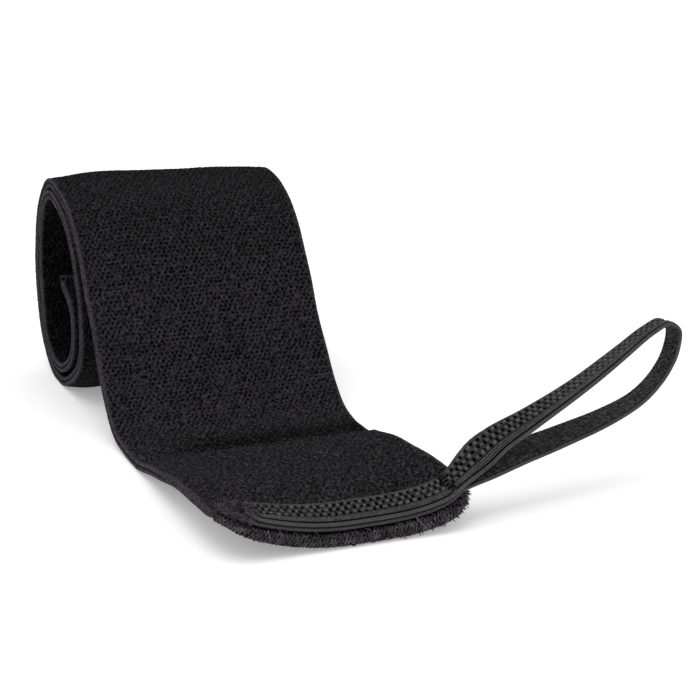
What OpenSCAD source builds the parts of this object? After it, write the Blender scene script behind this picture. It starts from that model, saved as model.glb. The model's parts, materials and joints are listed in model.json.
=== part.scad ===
// Elastic wrist wrap with a thumb loop, stored partly rolled up on a table.
// X runs along the band's width, -Y from the roll towards the free front end, +Z up from the table.

/* [Band] */
// Width of the knitted band
band_w = 75; // [60:1:90]
// Thickness of the knitted band
band_t = 2.9; // [2.2:0.1:3.0]

/* [Loop tape] */
// Width of the tape that trims the front end and makes the thumb loop
tape_w = 10.5; // [8:0.5:12]
// Thickness of the tape
tape_t = 1.5; // [1:0.1:1.8]
// How far the tape's left end stays inside the band's left edge
tape_inset = 3.5; // [2:0.5:8]

/* [Front end] */
// Radius of the thread bead along the front cut end
bead_r = 1.9; // [1.5:0.1:2]
// How far the left front corner curls up from the table
left_curl = 9; // [0:0.5:12]
// How far the right front corner curls up from the table
right_curl = 7; // [0:0.5:10]

/* [Tail] */
// Radius of the thread bead along the tail's cut end
tail_bead_r = 1.8; // [1.5:0.1:2.2]
// Width of the hook patch on the tail
hook_w = 60; // [40:1:66]
// Length of the hook patch on the tail
hook_l = 24; // [16:1:26]
// Thickness of the hook patch
hook_t = 1.4; // [1:0.1:1.8]

/* [Hidden] */
$fn = 48;

knit_colour = [0.055, 0.05, 0.058];
tape_colour = [0.13, 0.13, 0.135];
thread_colour = [0.09, 0.088, 0.094];
hook_colour = [0.03, 0.03, 0.032];

// Clearance between bodies where the band bends
bend_gap = 0.3;
// Clearance between layers that are sewn together
sewn_gap = 0.04;
// Clearance between the band's cut ends and the thread beads that bind them
bead_gap = 0.1;
// Length and gauge of the stitches that show, and their clearance above the tape
stitch_l = 2.4;
stitch_gauge = 0.5;
stitch_lift = 0.15;

// Mid-line of the band from the front end to the tail, as [y, z]: the flap, the foot on the
// table, the slope, the outer turn of the roll, the inner turn and the tail inside it.
route = [
    [-168, 2.5], [-157, 5.2], [-143, 6.6], [-128, 6.2], [-112, 4], [-98, 2], [-86, 1.3],
    [-77, 1.9], [-69, 4], [-61, 10], [-54.5, 17], [-47, 27.5], [-37.5, 42], [-30, 53],
    [-22.5, 60], [-15, 63.7], [-7, 65.8], [0, 66.5],
    [5, 65], [11, 60], [18, 48.5], [21.5, 30], [19.5, 15.5], [15.5, 8], [10, 3.4],
    [2, 1.3], [-6, 1.9], [-13.5, 4.8], [-22.5, 9.2], [-29.5, 15], [-33, 22.5],
    [-33.5, 30.5], [-31.5, 39], [-28, 48],
    [-20.6, 57.3], [-14, 60.6], [-6.6, 62.6], [-0.5, 63], [3.8, 61.6], [8.3, 57.4],
    [14, 46.5], [17.2, 30], [15.3, 16.7], [11.8, 10.4], [7.6, 7.1], [1.6, 5.6],
    [-6, 6.2], [-12.4, 8.9], [-17.8, 12.6], [-21.3, 17.5], [-22.8, 23], [-22, 28.5],
    [-18.5, 32.5], [-10.5, 35.8]];
// Points drawn between two neighbouring points of the route
route_steps = 4;

// Places along the route, counted in its points, where the band bends as a hinge
slope_bend = 14;
foot_bend = 6;
tail_bend = 47;

// Mid-line of the thumb loop as [x, z], out along the upper leg and back along the lower leg
loop_route = [
    [41.2, 16.4], [43.5, 18.4], [49, 21.4], [60.5, 25.6], [76.5, 32], [92.5, 39.5],
    [102, 44.3], [107.5, 45.8], [110.5, 43], [109.4, 36.8], [106.5, 32], [103, 28],
    [97.5, 24.3], [87, 21], [70, 17.8], [55.5, 15.7], [46, 14], [41, 12.4]];
loop_steps = 3;
// Sideways place of the loop at the seam, and how much it drifts back per millimetre of reach
loop_y = -160.5;
loop_drift = 0.185;
// Tilt of the tape's width above level along the loop, as [fraction of the loop, degrees]
loop_tilt = [[0, 15], [0.06, 26], [0.12, 18], [0.18, 6], [0.24, -5], [0.3, -8], [0.7, -8],
             [0.76, -2], [0.82, 6], [0.88, 14], [0.94, 20], [1, 15]];
// Axis of the seam that the thumb loop swings about, as [x, z], with its tilt above level
seam_axis = [39, 14.1];
seam_r = 1.2;
seam_tilt = 15;

function unit(v) = v / norm(v);
function cubic(p1, p2, m1, m2, t) =
    (2*t^3 - 3*t^2 + 1)*p1 + (t^3 - 2*t^2 + t)*m1 + (3*t^2 - 2*t^3)*p2 + (t^3 - t^2)*m2;

// Centripetal spline through the points pts, with steps points between neighbours
function extended(pts) =
    let (n = len(pts)) concat([2*pts[0] - pts[1]], pts, [2*pts[n-1] - pts[n-2]]);
function tangent(a, b, c, ab, bc, span) = ((b - a)/ab - (c - a)/(ab + bc) + (c - b)/bc)*span;
function spline(pts, steps) =
    let (q = extended(pts))
    concat([for (i = [1:len(q)-3])
                let (a = q[i-1], b = q[i], c = q[i+1], d = q[i+2],
                     ab = sqrt(norm(b - a)), bc = sqrt(norm(c - b)), cd = sqrt(norm(d - c)),
                     m1 = tangent(a, b, c, ab, bc, bc), m2 = tangent(b, c, d, bc, cd, bc))
                for (k = [0:steps-1]) cubic(b, c, m1, m2, k/steps)],
           [pts[len(pts)-1]]);

// The band's mid-line, kept on the table where it would dip below it
path = [for (p = spline(route, route_steps)) [p[0], max(p[1], band_t/2)]];
last = len(path) - 1;
function heading(i) = unit(path[min(i + 1, last)] - path[max(i - 1, 0)]);
// Point i of the path, moved h towards the band's outer face
function off(i, h) = path[i] + h*[-heading(i)[1], heading(i)[0]];

// Length along the path up to each point, and the point at any length
function lengths(i = 0, s = 0) =
    i == last ? [s] : concat([s], lengths(i + 1, s + norm(path[i+1] - path[i])));
path_len = lengths();
y_at = [for (i = [0:last]) [path_len[i], path[i][0]]];
z_at = [for (i = [0:last]) [path_len[i], path[i][1]]];
function mid(s) = [lookup(s, y_at), lookup(s, z_at)];
function heading_at(s) = unit(mid(s + 0.5) - mid(max(s - 0.5, 0)));

// How far the front corners curl up: nothing at curl_start, full at the front end. The
// powers set how early each curl begins, along the band and across it.
curl_start = -95;
curl_full = -168;
along_power = 1.3;
left_power = 1.8;
right_power = 2.5;
function curl(x, y) =
    let (t = min(max((curl_start - y)/(curl_start - curl_full), 0), 1), u = abs(2*x/band_w))
    t^along_power*(x < 0 ? left_curl*u^left_power : right_curl*u^right_power);

// Point on the flap: s along the band, x across it, h above its mid-surface
function flap_point(s, x, h) =
    let (m = mid(s), d = heading_at(s), y = m[0] - h*d[1])
    [x, y, m[1] + h*d[0] + curl(x, m[0])];

// Where a solid starts beyond a bend: clear of the rounded nose that sits on the bend's axis
bend_clear = band_t/2 + bend_gap;
function first_after(i, s) = path_len[i] >= s ? i : first_after(i + 1, s);
foot_i = foot_bend*route_steps;
slope_i = slope_bend*route_steps;
tail_i = tail_bend*route_steps;

// The thumb loop's mid-line in space and its frame at each station
loop_path = [for (p = spline(loop_route, loop_steps))
                [p[0], loop_y + loop_drift*(p[0] - loop_route[0][0]), p[1]]];
loop_last = len(loop_path) - 1;
function loop_along(i) = unit(loop_path[min(i + 1, loop_last)] - loop_path[max(i - 1, 0)]);
function loop_across(i) =
    let (a = lookup(i/loop_last, loop_tilt), w = [0, cos(a), sin(a)], d = loop_along(i))
    unit(w - (w*d)*d);
function loop_ring(i) =
    let (w = loop_across(i)*tape_w/2, n = cross(loop_along(i), loop_across(i))*tape_t/2)
    [for (k = [[-1, -1], [1, -1], [1, 1], [-1, 1]]) loop_path[i] + k[0]*w + k[1]*n];
loop_rings = [for (i = [0:loop_last]) loop_ring(i)];

// The origin: middle of the whole object's footprint, on the table. The thread bead's centre
// line is bead_h above the band's mid-line.
bead_h = -0.5;
reach_x = max([for (r = loop_rings) for (p = r) p[0]]);
back_y = max([for (i = [0:last]) off(i, band_t/2)[0]]);
front_y = flap_point(0, 0, bead_h)[1] - bead_r;
origin = [(reach_x - band_w/2)/2, (back_y + front_y)/2, 0];

// Closed solid between two grids of points, top[i][j] over bottom[i][j]
module slab(top, bottom) {
    n = len(top);
    m = len(top[0]);
    under = n*m;
    function quad(a, b, c, d) = [[a, b, c], [a, c, d]];
    polyhedron(
        points = concat([for (r = top) each r], [for (r = bottom) each r]),
        faces = concat(
            [for (i = [0:n-2]) for (j = [0:m-2]) let (a = i*m + j)
                each quad(a, a + m, a + m + 1, a + 1)],
            [for (i = [0:n-2]) for (j = [0:m-2]) let (a = under + i*m + j)
                each quad(a, a + 1, a + m + 1, a + m)],
            [for (i = [0:n-2]) let (a = i*m) each quad(a, a + under, a + under + m, a + m)],
            [for (i = [0:n-2]) let (a = i*m + m - 1) each quad(a, a + m, a + under + m, a + under)],
            [for (j = [0:m-2]) each quad(j, j + 1, j + 1 + under, j + under)],
            [for (j = [0:m-2]) let (a = (n - 1)*m + j)
                each quad(a, a + under, a + 1 + under, a + 1)]));
}

// Closed tube through rings of points that all have the same number of corners
module tube(rings) {
    n = len(rings);
    m = len(rings[0]);
    polyhedron(
        points = [for (r = rings) each r],
        faces = concat(
            [for (i = [0:n-2]) for (j = [0:m-1])
                let (a = i*m + j, b = i*m + (j + 1) % m) each [[a, a + m, b + m], [a, b + m, b]]],
            [[for (j = [0:m-1]) j]],
            [[for (j = [m-1:-1:0]) (n - 1)*m + j]]));
}

// Part of the flap from s0 to s1 along the band, x0 to x1 across it and h0 to h1 above it
module flap_slab(s0, s1, x0, x1, h0, h1, ns, nx) {
    function grid(h) = [for (i = [0:ns])
        [for (j = [0:nx]) flap_point(s0 + (s1 - s0)*i/ns, x0 + (x1 - x0)*j/nx, h)]];
    slab(grid(h1), grid(h0));
}

// Extrudes a [y, z] outline across the band, centred, w wide
module across(w = band_w) {
    translate([-w/2, 0, 0]) rotate([90, 0, 90]) linear_extrude(height = w) children();
}

// Outline of the band between two path points, h0 to h1 above its mid-line
module band_outline(i0, i1, h0 = -band_t/2, h1 = band_t/2) {
    polygon(concat([for (i = [i0:i1]) off(i, h1)], [for (i = [i1:-1:i0]) off(i, h0)]));
}

// Round nose on a bend's axis, a hair thinner than the band so that the two join cleanly
module nose(i) {
    hair = 0.04;
    across() translate(path[i]) circle(d = band_t - hair);
}

// One stitch: a short bar of thread that lies on a surface, along X
module stitch() {
    translate([0, 0, stitch_gauge/2]) rotate([0, 90, 0])
        cylinder(d = stitch_gauge, h = stitch_l, center = true, $fn = 16);
}

module band_roll() {
    color(knit_colour) translate(-origin) union() {
        across() band_outline(slope_i, tail_i);
        nose(slope_i);
        nose(tail_i);
    }
}

module band_slope() {
    upper = first_after(0, path_len[slope_i] - bend_clear) - 1;
    color(knit_colour) translate(-origin) union() {
        across() band_outline(foot_i, upper);
        nose(foot_i);
    }
}

module band_end_panel() {
    color(knit_colour) translate(-origin)
        flap_slab(bead_r + bead_gap, path_len[foot_i] - bend_clear, -band_w/2, band_w/2,
                  -band_t/2, band_t/2, 20, 20);
}

module band_tail() {
    lower = first_after(0, path_len[tail_i] + bend_clear);
    upper = first_after(0, path_len[last] - tail_bead_r - bead_gap) - 1;
    color(knit_colour) translate(-origin) across() band_outline(lower, upper);
}

// Both tape layers lie on the flap from just behind the cut end, tape_front along the band
tape_front = 0.5;
tape_left = tape_inset - band_w/2;
tape_top = band_t/2 + 2*(tape_t + sewn_gap);

// One layer of the tape, with its lower face h above the band's mid-line
module tape_layer(h) {
    flap_slab(tape_front, tape_front + tape_w, tape_left, band_w/2, h, h + tape_t, 3, 20);
}

// A stitch on top of the tape, s behind its front edge and x across the band
module tape_stitch(s, x) {
    run = 1;
    rise = flap_point(s, x + run, 0)[2] - flap_point(s, x - run, 0)[2];
    translate(flap_point(tape_front + s, x, tape_top + sewn_gap + stitch_lift))
        rotate([0, -atan2(rise, 2*run), 0]) stitch();
}

module trim_lower_layer() {
    color(tape_colour) translate(-origin) tape_layer(band_t/2 + sewn_gap);
}

module trim_upper_layer() {
    color(tape_colour) translate(-origin) tape_layer(tape_top - tape_t);
}

module thumb_loop() {
    color(tape_colour) translate(-origin) tube(loop_rings);
}

module end_overlock() {
    sides = 12;
    stations = 20;
    color(thread_colour) translate(-origin)
        tube([for (i = [0:stations])
                let (c = flap_point(0, -band_w/2 + band_w*i/stations, bead_h))
                [for (k = [0:sides-1]) c + bead_r*[0, cos(360*k/sides), sin(360*k/sides)]]]);
}

module tail_overlock() {
    color(thread_colour) translate(-origin) across()
        translate(path[last]) circle(r = tail_bead_r);
}

// Short bars of thread that lock the tape's left end down, side by side across the tape
module left_bartack() {
    bars = 5;
    inset = 1.5;
    color(thread_colour) translate(-origin)
        for (i = [1:bars]) tape_stitch(tape_w*i/(bars + 1), tape_left + inset);
}

// Dense bar of thread along the seam where the tape leaves the band as the thumb loop
module right_bartack() {
    color(thread_colour) translate(-origin)
        translate([seam_axis[0], loop_y, seam_axis[1]]) rotate([seam_tilt - 90, 0, 0])
            cylinder(r = seam_r, h = tape_w, center = true);
}

// Two rows of lockstitch that hold both tape layers to the band
module trim_seam_stitches() {
    pitch = 4.2;
    rows = [2, tape_w - 1.2];
    inset = 5.2;
    count = 14;
    color(thread_colour) translate(-origin)
        for (s = rows) for (i = [0:count-1]) tape_stitch(s, tape_left + inset + pitch*i);
}

// The hook patch sits on the tail's outer face, towards the band it closes on, and stops
// short of the tail's cut end
hook_margin = 4;
hook_i0 = first_after(0, path_len[last] - hook_l - hook_margin);
hook_i1 = first_after(0, path_len[last] - hook_margin);
hook_base = band_t/2 + sewn_gap;

module hook_patch() {
    color(hook_colour) translate(-origin) across(hook_w)
        band_outline(hook_i0, hook_i1, hook_base, hook_base + hook_t);
}

module hook_patch_stitches() {
    pitch = 4;
    count = floor(hook_w/pitch) - 1;
    color(thread_colour) translate(-origin)
        for (i = [hook_i0 + 1, hook_i1 - 1]) for (k = [0:count-1]) {
            p = off(i, hook_base + hook_t + sewn_gap);
            d = heading(i);
            translate([(k - (count - 1)/2)*pitch, p[0], p[1]])
                rotate([atan2(d[1], d[0]), 0, 0]) stitch();
        }
}

band_roll();
band_slope();
band_end_panel();
band_tail();
trim_lower_layer();
trim_upper_layer();
thumb_loop();
end_overlock();
tail_overlock();
left_bartack();
right_bartack();
trim_seam_stitches();
hook_patch();
hook_patch_stitches();
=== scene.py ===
"""Elastic wrist wrap with a thumb loop, partly rolled up on a table.

Shapes are worked out in millimetres in the design's own axes: x from the middle of the band,
y from the crown of the roll (negative towards the free front end), z up from the table.
placed() turns them into the frame's metres.
"""
import json
import math
import bpy
import numpy as np
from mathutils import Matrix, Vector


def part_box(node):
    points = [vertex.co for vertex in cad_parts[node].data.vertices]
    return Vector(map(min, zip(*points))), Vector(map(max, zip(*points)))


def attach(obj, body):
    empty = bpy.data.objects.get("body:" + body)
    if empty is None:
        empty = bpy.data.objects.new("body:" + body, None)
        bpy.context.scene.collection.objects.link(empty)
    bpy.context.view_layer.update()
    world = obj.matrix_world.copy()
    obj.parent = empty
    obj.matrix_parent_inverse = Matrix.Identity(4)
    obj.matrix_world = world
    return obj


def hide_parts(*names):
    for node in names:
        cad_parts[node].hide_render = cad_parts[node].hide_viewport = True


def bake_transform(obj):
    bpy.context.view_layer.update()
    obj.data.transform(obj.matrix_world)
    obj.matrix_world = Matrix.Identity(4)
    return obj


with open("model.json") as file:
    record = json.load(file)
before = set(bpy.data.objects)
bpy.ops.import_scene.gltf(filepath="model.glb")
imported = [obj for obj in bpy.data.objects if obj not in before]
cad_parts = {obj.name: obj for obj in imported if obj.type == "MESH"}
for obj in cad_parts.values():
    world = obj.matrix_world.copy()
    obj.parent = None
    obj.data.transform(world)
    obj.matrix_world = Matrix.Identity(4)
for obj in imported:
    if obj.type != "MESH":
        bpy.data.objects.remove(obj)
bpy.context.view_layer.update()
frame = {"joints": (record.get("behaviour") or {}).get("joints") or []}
joints = {j["name"]: j for j in frame["joints"]}
MM = 0.001

# ------------------------------------------------------------------ driving sizes, millimetres
BAND_W = (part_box("band_roll")[1].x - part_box("band_roll")[0].x)/MM
BAND_T = 2.9
TAPE_W = 10.5
TAPE_T = 1.5
TAPE_FRONT = 0.5
SEWN_GAP = 0.04
BEAD_R = 1.9
TAIL_BEAD_R = 1.8
HOOK_W = 60.0
HOOK_L = 24.0
HOOK_MARGIN = 4.0

# Mid-line of the band from the front end to the tail, as [y, z]
ROUTE = [
    [-168, 2.5], [-157, 5.2], [-143, 6.6], [-128, 6.2], [-112, 4], [-98, 2], [-86, 1.3],
    [-77, 1.9], [-69, 4], [-61, 10], [-54.5, 17], [-47, 27.5], [-37.5, 42], [-30, 53],
    [-22.5, 60], [-15, 63.7], [-7, 65.8], [0, 66.5],
    [5, 65], [11, 60], [18, 48.5], [21.5, 30], [19.5, 15.5], [15.5, 8], [10, 3.4],
    [2, 1.3], [-6, 1.9], [-13.5, 4.8], [-22.5, 9.2], [-29.5, 15], [-33, 22.5],
    [-33.5, 30.5], [-31.5, 39], [-28, 48],
    [-20.6, 57.3], [-14, 60.6], [-6.6, 62.6], [-0.5, 63], [3.8, 61.6], [8.3, 57.4],
    [14, 46.5], [17.2, 30], [15.3, 16.7], [11.8, 10.4], [7.6, 7.1], [1.6, 5.6],
    [-6, 6.2], [-12.4, 8.9], [-17.8, 12.6], [-21.3, 17.5], [-22.8, 23], [-22, 28.5],
    [-18.5, 32.5], [-10.5, 35.8]]
SLOPE_BEND = 14

# Mid-line of the thumb loop as [x, z], out along the upper leg and back along the lower leg
LOOP_ROUTE = [
    [43.5, 18.4], [49, 21.4], [60.5, 25.6], [76.5, 32], [92.5, 39.5], [102, 44.3],
    [107.7, 46], [111, 43.3], [110, 37], [107, 32.1], [103.2, 28.2], [97.5, 24.5],
    [87, 21], [70, 17.8], [55.5, 15.7], [46, 14]]
LOOP_START = 41.0
LOOP_Y = -160.5
LOOP_DRIFT = 0.185
# Tilt of the tape's width above level at each of those points, in degrees
LOOP_TILT = [36, 24, 9, -2, -4, -5, -7, -8, -8, -8, -7, -4, 2, 10, 17, 21]
SEAM_AXIS = [39.0, 14.1]
SEAM_TILT = math.radians(15)


def joint_place(name):
    return np.array(joints[name]["pos_m"], float)/MM


# Where the design's axes lie in the frame
band_middle = (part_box("band_roll")[0].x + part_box("band_roll")[1].x)/2/MM
SHIFT = np.array([band_middle, joint_place("unroll_bend")[1] - ROUTE[SLOPE_BEND][0], 0])


def placed(points):
    """Design millimetres to frame metres."""
    return (np.asarray(points, float) + SHIFT)*MM


def unit(v):
    return v/np.maximum(np.linalg.norm(v, axis=-1, keepdims=True), 1e-9)


def smoothstep(x, low, high):
    t = np.clip((x - low)/(high - low), 0, 1)
    return t*t*(3 - 2*t)


def spline(points, steps):
    """Centripetal spline through points, with steps points between neighbours."""
    p = np.asarray(points, float)
    p = np.vstack([2*p[0] - p[1], p, 2*p[-1] - p[-2]])
    span = np.sqrt(np.linalg.norm(np.diff(p, axis=0), axis=1))
    t = np.linspace(0, 1, steps, endpoint=False)[:, None]
    out = []
    for i in range(1, len(p) - 2):
        a, b, c, d = p[i - 1:i + 3]
        ab, bc, cd = span[i - 1:i + 2]
        m1 = ((b - a)/ab - (c - a)/(ab + bc) + (c - b)/bc)*bc
        m2 = ((c - b)/bc - (d - b)/(bc + cd) + (d - c)/cd)*bc
        out.append((2*t**3 - 3*t**2 + 1)*b + (t**3 - 2*t**2 + t)*m1
                   + (3*t**2 - 2*t**3)*c + (t**3 - t**2)*m2)
    return np.vstack(out + [p[-2:-1]])


def arc_lengths(points):
    return np.concatenate([[0], np.cumsum(np.linalg.norm(np.diff(points, axis=0), axis=1))])


def resampled(points, step):
    """The same line with points every step millimetres, and their lengths along it."""
    s = arc_lengths(points)
    n = max(int(round(s[-1]/step)), 1)
    at = np.linspace(0, s[-1], n + 1)
    return np.stack([np.interp(at, s, points[:, k]) for k in range(points.shape[1])], 1), at


def smoothed(values, reach):
    """Running mean over 2*reach + 1 rows, with the ends held."""
    padded = np.concatenate([np.repeat(values[:1], reach, 0), values,
                             np.repeat(values[-1:], reach, 0)])
    total = np.cumsum(np.concatenate([np.zeros_like(padded[:1]), padded]), axis=0)
    width = 2*reach + 1
    return (total[width:] - total[:-width])/width


# ------------------------------------------------------------------ the band's own surface
mid_line = spline(ROUTE, 30)
mid_line[:, 1] = np.maximum(mid_line[:, 1], BAND_T/2)
mid_line, mid_s = resampled(mid_line, 0.25)
mid_line[4:-4] = smoothed(mid_line, 4)[4:-4]
mid_heading = unit(np.gradient(mid_line, axis=0))
BAND_L = mid_s[-1]
route_s = arc_lengths(spline(ROUTE, 4))[::4]
FOOT_S = route_s[6]
SLOPE_S = route_s[SLOPE_BEND]

# Front corners: rounded off in plan, and curled up from the table
LEFT_ROUND = 11.5
RIGHT_ROUND = 6.0
ROUND_FADE = 24.0
RIGHT_CURL = 7.0
CURL_START = -95.0
CURL_FULL = -168.0
# Lift of the left side edge above the middle of the band, as [place along y, height]
LEFT_LIFT = [[-170, 9.8], [-162, 8.0], [-156.5, 5.8], [-150, 4.7], [-143, 3.9], [-133, 3.4],
             [-119, 2.5], [-109, 1.9], [-99, 1.2], [-89, 0.3], [-80, 0]]
# Power of the lift across the band, on the left and on the right
LEFT_POWER = 1.8
RIGHT_POWER = 3.9
# The right side edge also rises a little behind its corner: [height, place along y, reach]
RIGHT_RISE = [0.9, -112.0, 14.0]
# A low ridge across the foot of the slope, gentle on the flap's side and steep behind, that
# fades out towards the left: heights in the middle and at the right, and places along y
RIDGE_MIDDLE = 1.9
RIDGE_RIGHT = 1.5
RIDGE_FOOT = -130.0
RIDGE_TOP = -101.0
RIDGE_BACK = [-97.5, -91.0]
# The roll stands a little taller at its left end than at its right, its side edges droop,
# and its turns have slid to the left
ROLL_LEAN = -0.027
ROLL_EXTRA = 0.0175
LEFT_DROOP = [1.7, 16.0]
RIGHT_DROOP = [0.4, 10.0]
ROLL_SLIDE = 0.75
ROLL_FADE = 55.0
# The slid turns also lean a little, and the foot of the slope bulges to the left
ROLL_TWIST = 0.4
BULGE = [0.6, 108.0, 13.0]
# Behind its left edge the outer turn sags to the table under the roll: depth, place, reach
BELLY = [2.4, 302.0, 16.0]


def setback(x):
    """How far a rounded front corner draws back the front edge at x."""
    back = np.zeros_like(x)
    for side, radius in ((-1, LEFT_ROUND), (1, RIGHT_ROUND)):
        reach = np.clip(radius - (BAND_W/2 - side*x), 0, radius)
        back = np.maximum(back, radius - np.sqrt(np.maximum(radius**2 - reach**2, 0)))
    return back


left_lift = spline(LEFT_LIFT, 12)


def ridge(x, y):
    """Height of the low ridge across the foot of the slope."""
    height = RIDGE_MIDDLE - (RIDGE_MIDDLE - RIDGE_RIGHT)*smoothstep(x, 10, BAND_W/2)
    along = smoothstep(y, RIDGE_FOOT, RIDGE_TOP)*(1 - smoothstep(y, *RIDGE_BACK))
    return height*along*smoothstep(x, -34, -6)


def curl(x, y):
    """Lift of the band's sides above its middle, and how far that draws them inwards."""
    t = np.clip((CURL_START - y)/(CURL_START - CURL_FULL), 0, 1)
    u = np.abs(2*x/BAND_W)
    left = np.interp(y, left_lift[:, 0], left_lift[:, 1], right=0)
    right = RIGHT_CURL*t**1.3 + RIGHT_RISE[0]*np.exp(-((y - RIGHT_RISE[1])/RIGHT_RISE[2])**2)
    height = np.where(x < 0, left, right)
    power = np.where(x < 0, LEFT_POWER, RIGHT_POWER)
    inwards = (height*power)**2/(BAND_W*(2*power - 1))*u**(2*power - 1)
    return height*u**power, -np.sign(x)*inwards


def on_band(s, x, h):
    """Point s along the band, x across it and h above its mid-surface."""
    s, x, h = np.broadcast_arrays(np.asarray(s, float), np.asarray(x, float), np.asarray(h, float))
    back = setback(x)
    along = s + back*np.clip(1 - s/ROUND_FADE, 0, 1)
    y = np.interp(along, mid_s, mid_line[:, 0])
    z = np.interp(along, mid_s, mid_line[:, 1])
    dy = np.interp(along, mid_s, mid_heading[:, 0])
    dz = np.interp(along, mid_s, mid_heading[:, 1])
    z_up = z + h*dy
    on_roll = smoothstep(s, FOOT_S, FOOT_S + ROLL_FADE)
    z_up = z_up*(1 + on_roll*(ROLL_EXTRA + ROLL_LEAN*x/(BAND_W/2)))
    droop = (LEFT_DROOP[0]*smoothstep(-x, BAND_W/2 - LEFT_DROOP[1], BAND_W/2)
             + RIGHT_DROOP[0]*smoothstep(x, BAND_W/2 - RIGHT_DROOP[1], BAND_W/2))
    droop = droop*smoothstep(z_up, 40, 66)
    slide = ((ROLL_SLIDE + ROLL_TWIST*(z_up/33 - 1))*smoothstep(s, SLOPE_S, SLOPE_S + ROLL_FADE)
             + BULGE[0]*np.exp(-((s - BULGE[1])/BULGE[2])**2)*smoothstep(-x, 10, BAND_W/2))
    lift, inwards = curl(x, y)
    lift = lift - (BELLY[0]*np.exp(-((s - BELLY[1])/BELLY[2])**2)
                   * smoothstep(x, -BAND_W/2 - 3, -BAND_W/2 + 8))
    return np.stack([x + inwards - slide, y - h*dz, z_up + lift + ridge(x, y) - on_roll*droop], -1)


# ------------------------------------------------------------------ relief of knitted cloth
def spots(u, v, pitch, size, jitter, seed, missing=0.0):
    """Soft spots on a staggered lattice: up to 1 at each spot's centre, 0 between spots."""
    rng = np.random.default_rng(seed)
    col = u/pitch[0]
    row = v/pitch[1]
    row0 = np.floor(row).astype(int)
    first_row = row0.min() - 1
    first_col = int(np.floor(col.min())) - 3
    shape = (row0.max() - first_row + 4, int(np.ceil(col.max())) - first_col + 4)
    du = rng.normal(0, jitter*pitch[0], shape)
    dv = rng.normal(0, jitter*pitch[1], shape)
    strength = rng.uniform(0.45, 1, shape)*(rng.random(shape) >= missing)
    stretch = rng.uniform(0.8, 1.35, shape)
    best = np.zeros_like(u)
    for dr in (-1, 0, 1, 2):
        r = row0 + dr
        stagger = 0.5*(r % 2)
        col0 = np.floor(col - stagger).astype(int)
        for dc in (-1, 0, 1, 2):
            c = col0 + dc
            i, j = r - first_row, c - first_col
            eu = ((c + stagger)*pitch[0] + du[i, j] - u)/(size[0]*stretch[i, j])
            ev = (r*pitch[1] + dv[i, j] - v)/(size[1]/stretch[i, j])
            best = np.maximum(best, strength[i, j]*np.exp(-eu**2 - ev**2))
    return best


def waviness(u, v, seed, waves=6, shortest=14.0, longest=45.0):
    """Slow unevenness of hand-handled cloth, between about -1 and 1."""
    rng = np.random.default_rng(seed)
    total = np.zeros(np.broadcast(u, v).shape)
    for _ in range(waves):
        length = rng.uniform(shortest, longest)
        angle = rng.uniform(0, math.pi)
        phase = rng.uniform(0, 2*math.pi)
        total += np.sin(2*math.pi*(u*math.cos(angle) + v*math.sin(angle))/length + phase)
    return total/waves*1.5


# ------------------------------------------------------------------ building meshes
def mesh_piece(name, points, faces, material, cloth=None, pit=None, light=None, flat=0):
    """A smooth-shaded mesh object from design points, with the values its material reads.

    The last flat faces are cut ends, shaded flat so that they leave the rest smooth."""
    mesh = bpy.data.meshes.new(name)
    mesh.from_pydata(placed(points).tolist(), [], faces)
    mesh.update()
    mesh.shade_smooth()
    for face in mesh.polygons[len(faces) - flat:]:
        face.use_smooth = False
    count = len(points)
    if cloth is None:
        cloth = points
    attribute = mesh.attributes.new("cloth", "FLOAT_VECTOR", "POINT")
    attribute.data.foreach_set("vector", np.asarray(cloth, np.float32).ravel())
    for key, values in (("pit", pit), ("light", light)):
        attribute = mesh.attributes.new(key, "FLOAT", "POINT")
        filled = np.zeros(count) if values is None else np.asarray(values, float).ravel()
        attribute.data.foreach_set("value", filled.astype(np.float32))
    mesh.materials.append(material)
    piece = bpy.data.objects.new(name, mesh)
    bpy.context.scene.collection.objects.link(piece)
    return piece


def ring_faces(rows, ring, turn=1):
    """Quads of a closed tube of rows rings; turn is -1 where the rings run the other way."""
    i = np.arange(rows - 1)[:, None]*ring
    j = np.arange(ring)[None, :]
    k = (j + 1) % ring
    quads = np.stack([i + j, i + k, i + ring + k, i + ring + j], -1).reshape(-1, 4)
    return quads[:, ::turn].tolist()


def ring_caps(rows, ring, turn=1):
    """The two end faces of a closed tube of rows rings."""
    return [list(range(ring))[::-turn], [(rows - 1)*ring + k for k in range(ring)][::turn]]


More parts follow.
